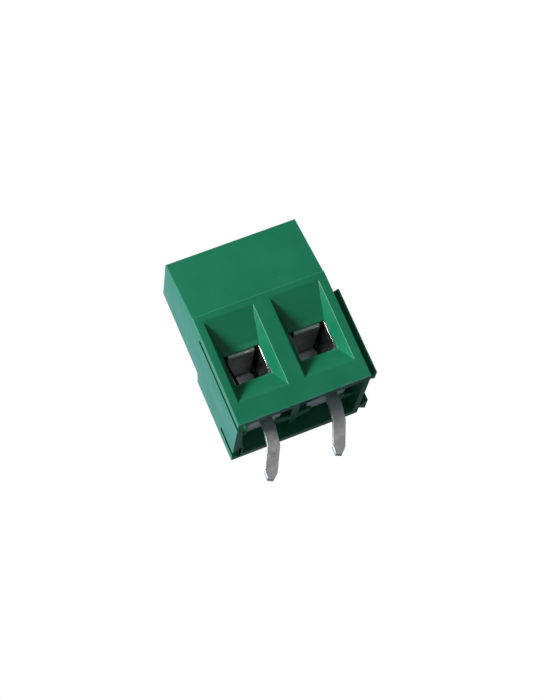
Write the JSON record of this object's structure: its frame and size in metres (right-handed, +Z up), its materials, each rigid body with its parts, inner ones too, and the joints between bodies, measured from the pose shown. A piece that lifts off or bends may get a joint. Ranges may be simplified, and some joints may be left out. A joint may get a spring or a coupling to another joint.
{
  "type": "pcb screw terminal",
  "caption": "Rising-clamp screw terminal for a circuit board: stepped green body with square wire funnels, driver wells, side interlock rails and flat solder pins.",
  "frame": {"origin": "on the circuit board's surface, midway between the two solder pins where they pass through it", "axes": "+Z up from the board, along the clamp screws, with the solder pins below the origin; the wires enter from -Y; +X is the side with the interlock rails"},
  "size_m": [0.0108, 0.0084, 0.0173],
  "materials": {
    "body_plastic": "moulded, satin gloss",
    "sleeve_metal": "nickel plated",
    "contact_metal": "tin plated",
    "screw_metal": "zinc plated"
  },
  "bodies": {
    "block": {"housing": "body_plastic", "contact_left": "contact_metal", "contact_right": "contact_metal"},
    "left_sleeve": {"sleeve_left": "sleeve_metal"},
    "right_sleeve": {"sleeve_right": "sleeve_metal"},
    "left_screw": {"screw_left": "screw_metal"},
    "right_screw": {"screw_right": "screw_metal"}
  },
  "joints": [
    {"name": "left_screw_turn", "type": "hinge", "parent": "block", "child": "left_screw", "pos_m": [-0.00254, 0.00053, 0.0103], "axis": [0, 0, -1], "range_deg": [0, 1560.1]},
    {"name": "right_screw_turn", "type": "hinge", "parent": "block", "child": "right_screw", "pos_m": [0.00254, 0.00053, 0.0103], "axis": [0, 0, -1], "range_deg": [0, 1560.1]},
    {"name": "left_sleeve_lift", "type": "slide", "parent": "block", "child": "left_sleeve", "axis": [0, 0, 1], "range_m": [0, 0.00195]},
    {"name": "right_sleeve_lift", "type": "slide", "parent": "block", "child": "right_sleeve", "axis": [0, 0, 1], "range_m": [0, 0.00195]}
  ],
  "couplings": [
    {"joint": "left_screw_turn", "follows": "left_sleeve_lift", "rad_per_m": 13963},
    {"joint": "right_screw_turn", "follows": "right_sleeve_lift", "rad_per_m": 13963}
  ]
}
